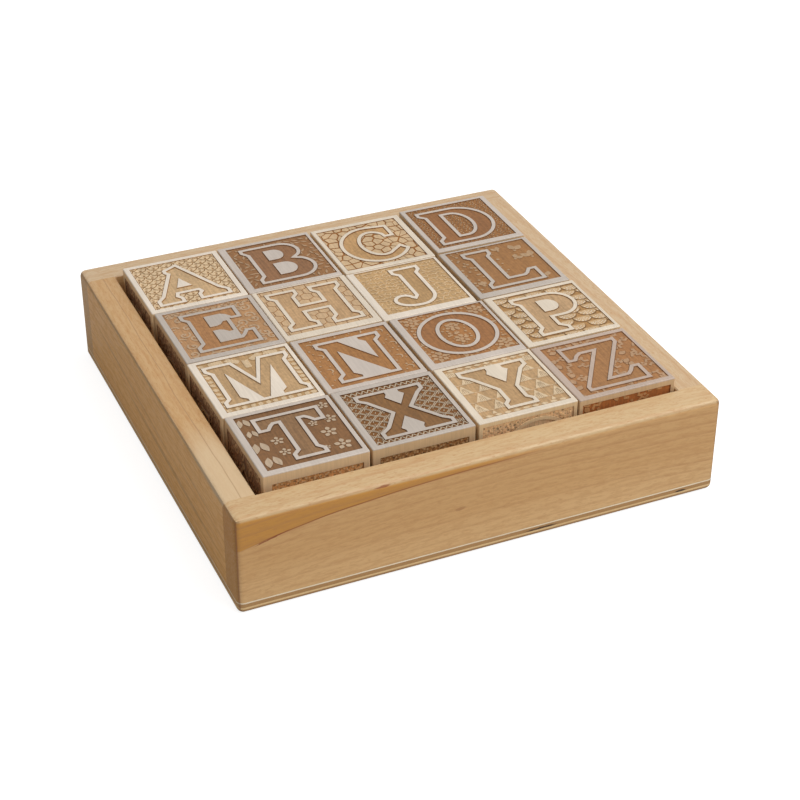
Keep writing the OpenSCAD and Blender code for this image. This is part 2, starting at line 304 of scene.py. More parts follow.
def board_finish(name, along, heart, tilt, tones, marks=(), below=None, over=None, bow=0.0):
    """Maple for one board: the axis it runs along, where its heart lies, its tones and its marks.

    What is drawn below stays off the rim, and what is drawn over shows there too.
    """
    material, tree, shader = new_finish(name, 0.42)
    place = own_place(tree)
    real_normal = add(tree, "NewGeometry").outputs["Normal"]
    crisp_normal = pulled(tree, pulled(tree, real_normal))
    real = parts_of(tree, real_normal)
    facing = parts_of(tree, crisp_normal)
    turn = (*tilt, 0 if along == "X" else math.pi / 2)
    values = {"Vector": bowed(tree, place, bow), "Location": Vector(heart) * MM, "Rotation": turn}
    grain = add(tree, "Mapping", values, vector_type="TEXTURE").outputs[0]
    values = {"Place": grain, "Ring spacing": RING_SPACING, "Wander": WANDER}
    figure = add(tree, "Group", values, node_tree=board_figure).outputs
    light, dark, warm, end, top = [srgb(*tone) for tone in tones]
    colour = blend(tree, times(tree, figure["Cloud"], 0.4), light, warm)
    if below:
        colour = below(tree, place, colour)
    # Faces turned up take the paler top tone: painted sheen for the white sky that the rim and upper edges
    # reflect.
    upwards = ramp(tree, real["Z"], 0.25, 0.6)
    colour = blend(tree, times(tree, upwards, 0.9), colour, top)
    colour = blend(tree, times(tree, figure["Rings"], 0.36), colour, dark)
    colour = blend(tree, ramp(tree, figure["Fibre"], 0.35, 0.8, 0.0, 0.24), colour, dark)
    fleck_strength = plus(tree, times(tree, upwards, 0.3), 0.25)
    colour = blend(tree, times(tree, figure["Flecks"], fleck_strength), colour, dark)
    colour = blend(tree, ramp(tree, size_of(tree, facing[along]), 0.75, 0.97, 0.0, 0.7), colour, end)
    # Painted shade: a thin dark line down each rounded upright, where one wall's shading turns into the next.
    colour = blend(tree, times(tree, upright_shade_line(tree, real), 0.6), colour, EDGE_SHADE)
    colour = add_marks(tree, place, colour, marks)
    if over:
        colour = over(tree, place, colour)
    tree.links.new(colour, shader.inputs["Base Color"])
    tree.links.new(ramp(tree, figure["Fibre"], 0.2, 0.8, 0.4, 0.55), shader.inputs["Roughness"])
    sideways = ramp(tree, size_of(tree, real["X"]), 0.08, 0.3, 0.3, 1.0)
    normal = add(tree, "Mix", {0: sideways, 4: real_normal, 5: crisp_normal}, data_type="VECTOR").outputs[1]
    values = {"Strength": 0.25, "Distance": 0.06 * MM, "Height": figure["Fibre"], "Normal": normal}
    tree.links.new(add(tree, "Bump", values).outputs[0], shader.inputs["Normal"])
    return material


def wandering_line(tree, place, distance, sway, width):
    """A mask for a thin growth line, where the given distance is near zero, and the swayed distance."""
    away = maths(tree, "SUBTRACT", noise(tree, place, (22, 22, 22)), 0.5)
    swayed = plus(tree, distance, times(tree, away, sway * MM))
    return ramp(tree, size_of(tree, swayed), width * 0.3 * MM, width * MM, 1.0, 0.0), swayed


def heartwood(tree, place, colour):
    """The front wall's upper left is warmer heartwood, above a line that rises to the right."""
    left_end = 103 * MM
    far_height = 42.8 * MM
    dip = 11.6 * MM
    reach = 45 * MM
    part = parts_of(tree, place)
    along = plus(tree, part["X"], left_end)
    fade = maths(tree, "EXPONENT", times(tree, along, -1 / reach))
    rising = plus(tree, times(tree, along, 0.008), far_height)
    edge = maths(tree, "SUBTRACT", rising, times(tree, fade, dip))
    line, above = wandering_line(tree, place, maths(tree, "SUBTRACT", part["Z"], edge), 1.4, 0.45)
    left = ramp(tree, part["X"], -10 * MM, 34 * MM, 0.95, 0.0)
    zone = times(tree, ramp(tree, above, -0.3 * MM, 0.4 * MM), left)
    high = ramp(tree, part["Z"], 8 * MM, 25 * MM, 0.0, 0.9)
    colour = blend(tree, high, colour, WARM_UPPER)
    colour = blend(tree, zone, colour, HEARTWOOD)
    clear_of_end = ramp(tree, part["X"], -105 * MM, -92 * MM, 0.15, 1.0)
    return blend(tree, times(tree, line, times(tree, left, clear_of_end)), colour, HEART_LINE)


def rim_line(tree, place, colour):
    """The left wall has a thin dark growth line that shows along the middle of its rim."""
    rim_middle = 99.6 * MM
    part = parts_of(tree, place)
    line, _ = wandering_line(tree, place, plus(tree, part["X"], rim_middle), 3.2, 0.36)
    on_rim = ramp(tree, part["Z"], 44 * MM, 45.3 * MM, 0.0, 0.42)
    return blend(tree, times(tree, line, on_rim), colour, RIM_LINE)


def dress(node, material):
    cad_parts[node].material_slots[0].material = material
    print(node, "wears", material.name)


# A board's tones: light, dark, warm, end grain, and a paler top tone that is painted sheen on up-facing
# faces.
HONEY = [(228, 186, 131), (182, 126, 76), (220, 176, 118), (178, 121, 46), (208, 179, 135)]
SHADED_HONEY = [(230, 175, 102), (177, 119, 58), (219, 161, 88), (184, 132, 66), (197, 159, 110)]
PALE_HONEY = [(228, 189, 136), (182, 132, 84), (220, 179, 122), (186, 138, 80), (202, 175, 139)]

front_marks = [
    ((-92.6, -107, 33.4), (9.0, 6, 0.42), (0, -0.28, 0), (144, 74, 34), 0.9),
    ((-12.4, -107, 24.2), (3.0, 6, 1.2), (0, -0.1, 0), (158, 104, 62), 0.4),
    ((-46, -107, 44.2), (4.4, 1.5, 0.5), (0, -0.05, 0), (146, 76, 36), 0.8),
    ((-70, -105, 45.6), (5.0, 0.4, 1.0), (0, 0, 0.06), (160, 104, 60), 0.6),
]
left_marks = [
    ((-100.5, -92, 45.6), (16, 60, 3), (0, 0, 0), (218, 192, 154), 0.7),
    ((-107, -22, 18.5), (5, 78, 1.8), (0.035, 0, 0), (140, 98, 50), 0.4),
    ((-107, 30, 27), (5, 66, 1.3), (0.05, 0, 0), (146, 102, 54), 0.34),
    ((-107, -58, 30), (5, 34, 1.0), (0.02, 0, 0), (146, 102, 54), 0.3),
]
dress("tray_front_wall", board_finish("front_wall_maple", "X", (0, -60, 120), (0, -0.01), HONEY, front_marks,
                                      below=heartwood, bow=0.3))
dress("tray_back_wall", board_finish("back_wall_maple", "X", (0, 40, 90), (0, 0.02), PALE_HONEY))
dress("tray_left_wall", board_finish("left_wall_maple", "Y", (-50, 0, 90), (0, 0.03), SHADED_HONEY,
                                     left_marks, over=rim_line))
dress("tray_right_wall", board_finish("right_wall_maple", "Y", (60, 0, 95), (0, -0.02), PALE_HONEY))

# %% [markdown]
# The base is thin plywood whose layers show as stripes along the tray's foot: bright face veneers,
# brown plies that show their end grain, and a tan ply in the middle. Each layer is a solid of its
# own in the frame, so each only needs its own wood, with a few gaps where a ply had a knot, painted
# dark as the shade inside them.
# %% Base plies
VENEER = [(250, 236, 208), (226, 200, 160), (244, 226, 192), (232, 208, 170), (250, 236, 208)]
BROWN_PLY = [(206, 162, 108), (160, 116, 70), (190, 146, 92), (176, 132, 82), (200, 156, 104)]
TAN_PLY = [(240, 206, 152), (204, 162, 106), (228, 188, 130), (214, 174, 118), (240, 206, 152)]
# Painted shade: dark marks where a ply lost a knot, standing in for the shade inside each hole.
shaded_ply_gaps = [
    ((25, -107, 3.7), (9, 5, 0.7), (0, 0, 0), (72, 48, 28), 0.9),
    ((91, -107, 3.5), (3.4, 5, 0.8), (0, 0, 0), (52, 34, 20), 0.95),
]
plies = {
    "base_face_veneer_top": ("upper_veneer", "X", (0, 30, 400), (0, 0), VENEER),
    "base_cross_ply_upper": ("upper_cross_ply", "Y", (60, 0, 300), (0, 0), BROWN_PLY, shaded_ply_gaps),
    "base_centre_ply": ("centre_ply_wood", "X", (0, 20, 250), (0, 0), TAN_PLY),
    "base_cross_ply_lower": ("lower_cross_ply", "Y", (30, 0, 280), (0, 0), BROWN_PLY),
    "base_face_veneer_bottom": ("lower_veneer", "X", (0, 50, 350), (0, 0), VENEER),
    "corner_dowels": ("dowel_beech", "Y", (4, 0, 30), (0, 0), HONEY),
}
for node, wood in plies.items():
    dress(node, board_finish(*wood))


# %% [markdown]
# Twelve wire brads hold the base on. Their heads show only from underneath, so a plain drawn
# steel with faint turning marks and a little unevenness is enough.
# %% Brads
def brad_finish():
    material, tree, shader = new_finish("brad_steel", 0.35)
    shader.inputs["Metallic"].default_value = 1.0
    dull = ramp(tree, noise(tree, own_place(tree), (900, 900, 300), 3.0), 0.3, 0.7)
    colour = blend(tree, dull, srgb(188, 188, 190), srgb(150, 150, 154))
    tree.links.new(colour, shader.inputs["Base Color"])
    tree.links.new(ramp(tree, dull, 0.0, 1.0, 0.3, 0.45), shader.inputs["Roughness"])
    return material


dress("base_brads", brad_finish())


# %% [markdown]
# A laser burns the panels, so one block shows bare wood, tan and deep brown side by side. The
# tones follow the engraving, not the wood, and are painted on the mesh's faces once it is carved.
# The material reads that paint, then adds fine upright lines, slow clouds and a drier surface
# where the wood is burnt.
# %% Engraved maple
def engraved_maple():
    material, tree, shader = new_finish("engraved_maple", 0.55)
    place = own_place(tree)
    tone = add(tree, "Attribute", attribute_name="tone").outputs["Color"]
    burn = add(tree, "Attribute", attribute_name="burn").outputs["Fac"]
    lines = noise(tree, place, (1500, 90, 90), roughness=0.6)
    specks = noise(tree, place, (700, 600, 700), roughness=0.6)
    clouds = noise(tree, place, (55, 30, 30))
    lines_seen, specks_seen, clouds_seen = [ramp(tree, grain, 0.3, 0.7, -0.5, 0.5)
                                            for grain in (lines, specks, clouds)]
    change = times(tree, lines_seen, ramp(tree, burn, 0.0, 1.0, 0.1, 0.26))
    change = plus(tree, change, times(tree, times(tree, specks_seen, burn), 0.2))
    change = plus(tree, change, times(tree, clouds_seen, 0.1))
    tree.links.new(scaled(tree, tone, plus(tree, change, 1.0)), shader.inputs["Base Color"])
    tree.links.new(ramp(tree, burn, 0.0, 1.0, 0.5, 0.8), shader.inputs["Roughness"])
    height = plus(tree, lines, times(tree, specks, times(tree, burn, 0.8)))
    bump = add(tree, "Bump", {"Strength": 0.35, "Distance": 0.05 * MM, "Height": height}).outputs[0]
    tree.links.new(bump, shader.inputs["Normal"])
    return material


maple = engraved_maple()
print("material made:", maple.name)

# %% [markdown]
# The letters are drawn as outlines in hundredths of half the panel's side, going anticlockwise.
# Round parts come from arcs. With each outline go the counters that stay as bare wood, the
# counters that are engraved inside a ribbon of their own, and the gaps that stay bare wood. The
# block's size comes from the frame, and everything else on it is in millimetres from its middle.
# %% Letter outlines
first_low, first_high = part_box("block_a")
BLOCK = round((first_high.z - first_low.z) / MM, 3)
BORDER = 2.5
SIDE_BORDER = 3.1
PANEL = BLOCK - 2 * BORDER
SIDE_PANEL = BLOCK - 2 * SIDE_BORDER
SHARE = PANEL / 200
RIBBON = 1.7
DEPTH = 0.4
EDGE = 0.5


def arc(centre, radii, start, end, steps=12):
    turns = [math.radians(start + (end - start) * k / steps) for k in range(steps + 1)]
    return [(centre[0] + radii[0] * math.cos(t), centre[1] + radii[1] * math.sin(t)) for t in turns]


LETTERS = {
    "a": [(76, -82.5), (76, -70.5), (61, -55), (0.5, 73.5), (-25, 60.5), (-25, 53.5), (-18.5, 45),
          (-62.5, -54), (-77, -69), (-77, -82.5), (-32, -82.5), (-32, -72), (-40.5, -61),
          (-34.5, -42), (20.5, -42), (27.5, -57), (18.5, -69), (18.5, -82.5)],
    "b": [(-66.5, -78), *arc((22.5, -36.5), (42, 41.5), -90, 50), (27, 7),
          *arc((15, 42), (38, 35), -35, 90), (-66.5, 77), (-66.5, 69), (-55.5, 54), (-55.5, -55),
          (-66.5, -68)],
    "c": [*arc((7.5, -3.5), (74, 79), 85, 325, 30), (59, -36.5),
          *arc((13.5, -2), (43.5, 61.5), 308, 42, 24), (48, 28.5), (59.5, 28.5), (59.5, 68.5)],
    "d": [(-75.5, -80), *arc((2, -2.75), (72, 77.25), -90, 90, 24), (-75.5, 74.5), (-75.5, 66.5),
          (-62, 54), (-62, -56), (-75.5, -69)],
    "e": [(-64.5, -77), (62, -77), (62, -35.5), (52.5, -35.5), (44, -48.5), (34, -59.5),
          (-18.5, -59.5), (-18.5, -7.5), (-3, -7.5), (6, -12.5), (14, -22), (24, -22), (24, 24),
          (15, 24), (7, 14), (-3, 9.5), (-18.5, 9.5), (-18.5, 57), (19, 57), (29.5, 50.5),
          (40, 37), (52, 37), (52, 73), (-61.5, 73), (-61.5, 63), (-51, 51.5), (-51, -54.5),
          (-64.5, -67.5)],
    "h": [(-79, -79), (-22.5, -79), (-22.5, -68.5), (-34, -57), (-34, -11), (34.5, -11),
          (34.5, -57), (23.5, -68.5), (23.5, -79), (79.5, -79), (79.5, -68.5), (67, -57), (67, 55),
          (79.5, 67.5), (79.5, 78), (23.5, 78), (23.5, 67.5), (34.5, 55), (34.5, 8), (-34, 8),
          (-34, 55), (-22.5, 67.5), (-22.5, 78), (-79, 78), (-79, 67.5), (-66.5, 55),
          (-66.5, -57), (-79, -68.5)],
    "j": [(-13, 77), (-13, 67.5), (-0.5, 56), (-0.5, -45), (-12, -60),
          *arc((-38.5, -53.5), (17, 15), 10, 180, 10), *arc((-10, -53.5), (45.5, 27), 190, 270, 8),
          *arc((-6.5, -40.5), (38.5, 40), 275, 360, 10), (32, 56), (42, 67.5), (42, 77)],
    "l": [(-61, -81.5), (61, -81.5), (61, -40), (51, -40), (41, -54), (31, -61.5), (-16, -61.5),
          (-16, 56), (-6, 67.5), (-6, 77.5), (-60, 77.5), (-60, 67.5), (-48.5, 56),
          (-48.5, -59.5), (-61, -72.5)],
    "m": [(-85.5, -75), (-42, -75), (-42, -66.5), (-55, -55), (-55, 45.5), (-11, -75), (4, -75),
          (46.5, 42.5), (46.5, -55), (34.5, -66), (34.5, -75), (87, -75), (87, -65), (76, -53),
          (76, 53.5), (86, 65.5), (86, 74.5), (34.5, 74.5), (0.5, -21.5), (-34.5, 74.5),
          (-86, 74.5), (-86, 65.5), (-74.5, 52), (-74.5, -55), (-85.5, -66)],
    "n": [(-65, -78.5), (-21, -78.5), (-21, -70.5), (-34.5, -57.5), (-34.5, 36), (42, -78.5),
          (55, -78.5), (55, 51.5), (67.5, 64), (67.5, 73.5), (26, 73.5), (26, 65), (38, 52.5),
          (38, -19), (-19.5, 73.5), (-65.5, 73.5), (-65.5, 65), (-53, 52.5), (-53, -57.5),
          (-65, -69.5)],
    "o": arc((-0.5, -1.5), (81, 80), 0, 354, 59),
    "p": [(-60, -76), (1, -76), (1, -67), (-14.5, -54), (-14.5, -10.75),
          *arc((19.5, 32.75), (43.5, 43.5), -90, 90, 20), (-61, 76.25), (-61, 68), (-48.5, 55),
          (-48.5, -54), (-60, -67)],
    "t": [(-26, -77), (29, -77), (29, -68), (18, -56), (18, 58), (36.5, 58), (45.5, 50),
          (53.5, 38.5), (65.5, 38.5), (65.5, 74), (-62, 74), (-62, 38.5), (-50.5, 38.5),
          (-42.5, 50), (-33.5, 58), (-13.5, 58), (-13.5, -56), (-26, -68)],
    "x": [(-69.5, -78.5), (-25.5, -78.5), (-25.5, -70.5), (-31.5, -61.5), (-7.5, -22),
          (19.5, -60.5), (14, -70), (14, -78.5), (73, -78.5), (73, -69), (59, -57.5), (14, 6.5),
          (49.5, 52.5), (62.5, 64), (62.5, 74), (17.5, 74), (17.5, 66), (25.5, 56.5),
          (3.5, 21.5), (-18, 55), (-12, 65), (-12, 74), (-70.5, 74), (-70.5, 65), (-57, 54),
          (-19.5, -3.5), (-51, -52.5), (-69.5, -66.5)],
    "y": [(-28, -77), (27, -77), (27, -68), (16, -57), (16, -10), (54, 50), (68.5, 61),
          (68.5, 73), (22.5, 73), (22.5, 64), (31, 55), (5.5, 10), (-20, 52), (-14, 63),
          (-14, 73), (-70.5, 73), (-70.5, 64), (-55.5, 50), (-17.5, -10), (-17.5, -57),
          (-28, -68)],
    "z": [(-70, -80), (60, -80), (60, -38), (51, -38), (42, -51), (30, -62), (-25.5, -63),
          (61, 70), (61, 77.5), (-60.5, 77.5), (-60.5, 37.5), (-52, 37.5), (-43, 50), (-30, 59),
          (15, 59), (-70, -73.5)],
}
BARE_COUNTERS = {
    "a": [[(-8.5, 19), (-25, -22.5), (10, -22.5)]],
    "b": [[(-23, 13), *arc((-2, 36.5), (20.5, 23.5), -90, 90), (-23, 60)],
          [(-21, -59), *arc((1, -31.5), (27, 27.5), -90, 90), (-21, -4)]],
    "p": [[(-15, 8), *arc((4.5, 32.75), (23.5, 24.75), -90, 90), (-15, 57.5)]],
}
RIBBON_COUNTERS = {
    "d": [[(-31, -64), *arc((-6, -2.75), (41, 61.25), -90, 90, 20), (-31, 58.5)]],
    "o": [arc((-1.5, -2), (45, 62), 0, 351, 39)],
}
BARE_GAPS = {
    "e": [[(-19, -59), (24, -59), (24, 57), (-19, 57)]],
    "m": [[(-56, -75), (-10, -75), (-56, 46)], [(3, -75), (48, -75), (48, 43)]],
    "n": [[(-36, -78.5), (43, -78.5), (-36, 37)], [(-20, 73.5), (39, -20), (39, 73.5)]],
    "x": [[(-12, 74), (-18, 55), (3.5, 21.5), (25.5, 56.5), (17.5, 66), (17.5, 74)],
          [(-25.5, -78.5), (14, -78.5), (14, -70), (19.5, -60.5), (-7.5, -22), (-31.5, -61.5)]],
    "y": [[(-14, 73), (-20, 52), (5.5, 10), (31, 55), (22.5, 64), (22.5, 73)]],
}
print("letters drawn:", " ".join(LETTERS))


# %% [markdown]
# Every ornament is a flat outline in millimetres round the panel's centre: a disc, a pointed leaf,
# or a stroke of even width along a path. A row of them, each with the finish it gets, is all that
# the carving below needs, so a new pattern is a few lines.
# %% Small shapes
def turned(points, angle, centre=(0, 0)):
    cos = math.cos(angle)
    sin = math.sin(angle)
    return [(centre[0] + x * cos - y * sin, centre[1] + x * sin + y * cos) for x, y in points]


def disc(centre, radius, count=10):
    return arc(centre, (radius, radius), 0, 360 - 360 / count, count - 1)


def leaf(centre, length, width, angle, steps=5):
    low = [(length * (k / steps - 0.5), -width / 2 * math.sin(math.pi * k / steps)) for k in range(steps)]
    return turned(low + [(-x, -y) for x, y in low], angle, centre)


def stroke(path, width):
    left = []
    right = []
    for k, (x, y) in enumerate(path):
        before = path[max(k - 1, 0)]
        after = path[min(k + 1, len(path) - 1)]
        side = Vector((before[1] - after[1], after[0] - before[0])).normalized() * width / 2
        left.append((x + side.x, y + side.y))
        right.append((x - side.x, y - side.y))
    return right + left[::-1]


def grown(points, margin):
    """The same outline moved outwards by a margin, with mitred corners."""
    moved = []
    for k, point in enumerate(points):
        here = Vector(point)
        come = here - Vector(points[k - 1])
        go = Vector(points[(k + 1) % len(points)]) - here
        before = Vector((come.y, -come.x)).normalized()
        after = Vector((go.y, -go.x)).normalized()
        moved.append((here + (before + after) * margin / max(1 + before.dot(after), 0.25))[:])
    return moved


def sized(shares, scale=1.0, centre=(0, 0)):
    return [(centre[0] + x * SHARE * scale, centre[1] + y * SHARE * scale) for x, y in shares]


def rectangle(left, bottom, right, top):
    return [(left, bottom), (right, bottom), (right, top), (left, top)]


def inside(point, outline):
    x, y = point
    odd = False
    for (ax, ay), (bx, by) in zip(outline, outline[1:] + outline[:1]):
        if (ay > y) != (by > y) and x < (bx - ax) * (y - ay) / (by - ay) + ax:
            odd = not odd
    return odd


def cut_half(polygon, point, away):
    """Keeps the part of a polygon that lies on the near side of a line."""
    kept = []
    for start, end in zip(polygon, polygon[1:] + polygon[:1]):
        first, last = [(x - point[0]) * away[0] + (y - point[1]) * away[1] for x, y in (start, end)]
        if first <= 0:
            kept.append(start)
        if (first < 0) != (last < 0) and first != last:
            share = first / (first - last)
            kept.append((start[0] + (end[0] - start[0]) * share, start[1] + (end[1] - start[1]) * share))
    return kept


def trimmed(shape, field):
    """The part of an outline that lies in a rectangle."""
    left, bottom, right, top = field
    edges = [((left, 0), (-1, 0)), ((right, 0), (1, 0)), ((0, bottom), (0, -1)), ((0, top), (0, 1))]
    for point, away in edges:
        shape = cut_half(shape, point, away)
    return shape


def scattered(seed, pitch, reach=20, loose=0.25):
    """Places over the panel on a staggered grid, each pushed a little out of line, and a turn."""
    rng = random.Random(seed)
    count = int(2 * reach / pitch) + 1
    for row in range(count):
        for column in range(count):
            x = -reach + (column + 0.5 * (row % 2) + rng.uniform(-loose, loose)) * pitch
            y = -reach + (row + rng.uniform(-loose, loose)) * pitch
            yield x, y, rng.uniform(0, math.tau)


def staggered(rows, columns, across, up):
    """Places in even rows round the centre, every second row half a step to the right."""
    for row in range(-rows, rows + 1):
        for column in range(-columns, columns + 1):
            yield (column + 0.5 * (row % 2)) * across, row * up


print("a leaf has", len(leaf((0, 0), 4, 1, 0)), "points")


# %% [markdown]
# The grounds round the letters carry old, common patterns: fish scales, pebbles, honeycomb, waves,
# scrolls, leaves, rope, braid and quilt triangles. Each function gives outlines one by one, with
# one of four finishes: a motif that stands up, a bare one that isn't tanned, a burnt line, or the
# ground itself, which cuts into what was drawn before. A scattered pattern takes a seed.
# %% Patterns
def fish_scales(reach=3.1):
    """Rows of round scales, the lowest first, so that each row laps over the one below."""
    for x, y in staggered(9, 4, reach * 2, reach * 0.86):
        yield disc((x, y), reach, 16), "line"
        yield disc((x, y + 0.12), reach - 0.38, 14), "motif"
        yield leaf((x, y - reach * 0.52), 1.5, 1.1, 0.2, 4), "line"
        yield leaf((x + 0.3, y - reach * 0.05), 1.9, 0.5, -0.2, 4), "ground"


def pebbles(seed, pitch=4.6, share=0.86):
    """Each stone is the cell of what lies nearest to its place, drawn in by a share."""
    places = [(x, y) for x, y, _ in scattered(seed, pitch, 22, 0.42)]
    for x, y in places:
        cell = rectangle(x - pitch, y - pitch, x + pitch, y + pitch)
        for ox, oy in places:
            if (ox, oy) != (x, y) and abs(ox - x) < 2 * pitch and abs(oy - y) < 2 * pitch:
                cell = cut_half(cell, ((x + ox) / 2, (y + oy) / 2), (ox - x, oy - y))
        if len(cell) > 2:
            yield [(x + (px - x) * share, y + (py - y) * share) for px, py in cell], "motif"


def grass(seed, pitch=1.5, length=1.5, width=0.46):
    """Short blades that lean either way, one in three of them burnt dark."""
    for k, (x, y, turn) in enumerate(scattered(seed, pitch)):
        burnt = k % 3 == 0
        lean = math.pi / 2 + 0.7 * math.sin(turn)
        yield leaf((x, y), length, width * (1.5 if burnt else 1), lean, 3), "line" if burnt else "motif"


def fallen_leaves(seed, pitch=3.4, length=3.6, width=1.1):
    for x, y, turn in scattered(seed, pitch):
        yield leaf((x, y), length, width, turn, 4), "motif"


def scrolls(seed, pitch=5.4, width=1.0):
    for x, y, turn in scattered(seed, pitch, 21):
        hand = 1 if math.sin(turn * 7) > 0 else -1
        coil = [(pitch * 0.5 * (1 - k / 14), k * 0.6) for k in range(12)]
        path = [(reach * math.cos(angle), hand * reach * math.sin(angle)) for reach, angle in coil]
        yield stroke(turned(path, turn, (x, y)), width), "motif"
        yield disc((x, y), 0.55, 7), "motif"


def scallop_row(height=17.2, pitch=2.9):
    """A row of half discs along the top of a panel, each with a dark rim."""
    for k in range(-7, 8):
        for reach, finish in ((1.42, "line"), (1.1, "motif")):
            yield arc((k * pitch, height), (reach, reach * 1.15), 0, 180, 8), finish


def honeycomb(radius=3.1, gap=0.22):
    for place in staggered(5, 4, radius * math.sqrt(3), radius * 1.5):
        yield arc(place, (radius - gap, radius - gap), 30, 330, 5), "motif"


def little_waves(seed, pitch=2.9):
    for x, y, turn in scattered(seed, pitch):
        path = [(-1.5 + 0.5 * k, 0.5 * math.sin(k * 1.1 + turn)) for k in range(7)]
        yield stroke(turned(path, 0.35 * math.sin(turn), (x, y)), 0.5), "motif"


def leaf_pairs(spots):
    """Broad pairs of leaves at chosen spots, with a small bud below each pair."""
    for x, y, size, turn in spots:
        for side in (-1, 1):
            spot = turned([(size * 0.3, side * size * 0.3)], turn, (x, y))[0]
            yield leaf(spot, size, size * 0.62, turn + side * 0.5, 7), "motif"
        yield disc(turned([(-size * 0.3, 0)], turn, (x, y))[0], 0.7, 8), "motif"


def twin_leaves(spots):
    """Two upright leaves side by side at each spot."""
    for x, y, scale in spots:
        for side in (-1, 1):
            spot = (x + side * 1.45 * scale, y)
            yield leaf(spot, 5.8 * scale, 2.5 * scale, math.pi / 2 + side * 0.2, 7), "motif"


def berries(seed, pitch, left, right):
    """Small discs strewn between two upright lines."""
    for x, y, turn in scattered(seed, pitch, loose=0.4):
        if left < x < right:
            yield disc((x, y), 0.4 + 0.45 * abs(math.sin(turn)), 8), "motif"


def rope_border(seed, reach=20, wide=3.0, pitch=3.3):
    """Uneven strands along the left, right and lower edge of a panel."""
    rng = random.Random(seed)
    count = int(2 * reach / pitch)
    for side in (0, 1, 3):
        for k in range(count):
            along = -reach + (k + 0.5 + rng.uniform(-0.12, 0.12)) * 2 * reach / count
            length = wide * rng.uniform(0.9, 1.15)
            strand = leaf((along, -reach + wide / 2), length, rng.uniform(1.9, 2.5), rng.uniform(0.7, 1.5))
            yield turned(strand, side * math.pi / 2), "motif"


def sprays(spots, lean=0.9):
    """A short stem at each spot, with five pairs of leaves along it."""
    for x, y, turn in spots:
        stem = [(x + 5 * k / 4 * math.cos(turn), y + 5 * k / 4 * math.sin(turn)) for k in range(-2, 3)]
        yield stroke(stem, 0.35), "motif"
        for foot in stem:
            for angle in (turn - lean, turn + lean):
                spot = (foot[0] + 0.9 * math.cos(angle), foot[1] + 0.9 * math.sin(angle))
                yield leaf(spot, 2.3, 1.35, angle, 4), "motif"


def moons_and_dots(seed, pitch=3.6):
    moon = arc((0, 0), (1.7, 1.7), -110, 110, 8) + arc((-0.9, 0), (1.85, 1.5), 85, -85, 6)
    for k, (x, y, turn) in enumerate(scattered(seed, pitch)):
        if k % 9 == 4:
            yield turned(moon, turn * 0.2, (x, y)), "motif"
        else:
            yield disc((x, y), 0.3 + 0.25 * abs(math.sin(turn)), 7), "motif"


def blossoms(spots, petals=6):
    for x, y, scale in spots:
        reach = 1.7 * scale
        for k in range(petals):
            turn = math.tau * k / petals + 0.3
            spot = (x + reach * math.cos(turn), y + reach * math.sin(turn))
            yield leaf(spot, 1.9 * scale, 1.5 * scale, turn), "motif"
        yield disc((x, y), 0.65 * scale, 8), "motif"


def fans(seed, radius=4.4, slices=6):
    """Shells in staggered rows, each a lighter half disc strewn with short bare rays."""
    rng = random.Random(seed)
    for x, y in staggered(5, 3, radius * 2.1, radius * 1.05):
        x += rng.uniform(-0.8, 0.8)
        y += rng.uniform(-0.6, 0.6)
        yield arc((x, y), (radius + 0.3, radius * 0.95), 170, 370), "line"
        yield arc((x, y + 0.3), (radius, radius * 0.86), 175, 365), "motif"
        for ring in range(3):
            for k in range(slices):
                start = 195 + 150 * k / slices + rng.uniform(-3, 3)
                end = start + 150 / slices - rng.uniform(9, 15)
                far = radius * (0.9 - 0.29 * ring) + rng.uniform(-0.2, 0.1)
                near = far - radius * 0.13
                edge = arc((x, y), (far, far * 0.86), start, end, 2)
                yield edge + arc((x, y), (near, near * 0.86), end, start, 1), "bare"


def braid(pitch=3.3, period=4.6, width=0.34):
    """Upright zigzags that lean left and right in turn, each with a second line beside it."""
    for column in range(-7, 8):
        swing = pitch * (0.36 if column % 2 else -0.36)
        for apart in (-0.42, 0.42):
            path = [(column * pitch + apart + (swing if k % 2 else -swing), k * period / 2)
                    for k in range(-10, 11)]
            for ends in zip(path, path[1:]):
                yield stroke(ends, width), "motif"
    for row in range(-9, 10):
        for column in range(-7, 8):
            place = ((column + 0.5) * pitch, (row + 0.5 * (column % 2)) * period / 2)
            yield leaf(place, 1.7, 0.36, 1.1 if (row + column) % 2 else -1.1, 3), "motif"


def zigzag_border(reach=20, wide=2.9, pitch=2.5):
    """Bands along the top and bottom of a panel, with a thin zigzag in each."""
    count = int(2 * reach / pitch)
    step = 2 * reach / count
    for side in (-1, 1):
        yield rectangle(-reach, side * reach - wide, reach, side * reach + wide), "ground"
        outer = side * (reach - 0.4)
        inner = side * (reach - wide + 0.3)
        for k in range(count):
            start = -reach + k * step
            path = [(start, outer), (start + step / 2, inner), (start + step, outer)]
            for ends in zip(path, path[1:]):
                yield stroke(ends, 0.5), "motif"


def quilt_triangles(base=9.0, height=7.2):
    """Rows of tall triangles with fine upright lines, between two rows of dashes."""
    for row in range(-3, 3):
        y = row * height - 0.6
        for column in range(-3, 4):
            x = (column + 0.5 * (row % 2)) * base
            yield [(x - base * 0.37, y + 0.5), (x + base * 0.37, y + 0.5), (x, y + height - 0.3)], "motif"
            for lean in (-1.3, -0.45, 0.45, 1.3):
                crease = [(x + lean, y + 0.9), (x + lean * 0.4, y + height * 0.62)]
                yield stroke(crease, 0.16), "ground"
        lift = row * height - 0.35
        yield rectangle(-20, lift - 0.2, 20, lift + 0.1), "motif"
    for side in (-1, 1):
        yield rectangle(-20, side * 18.9 - 1.3, 20, side * 18.9 + 1.3), "ground"
        for k in range(-5, 6):
            yield leaf((k * 4.2, side * 18.8), 3.4, 1.7, 0), "motif"


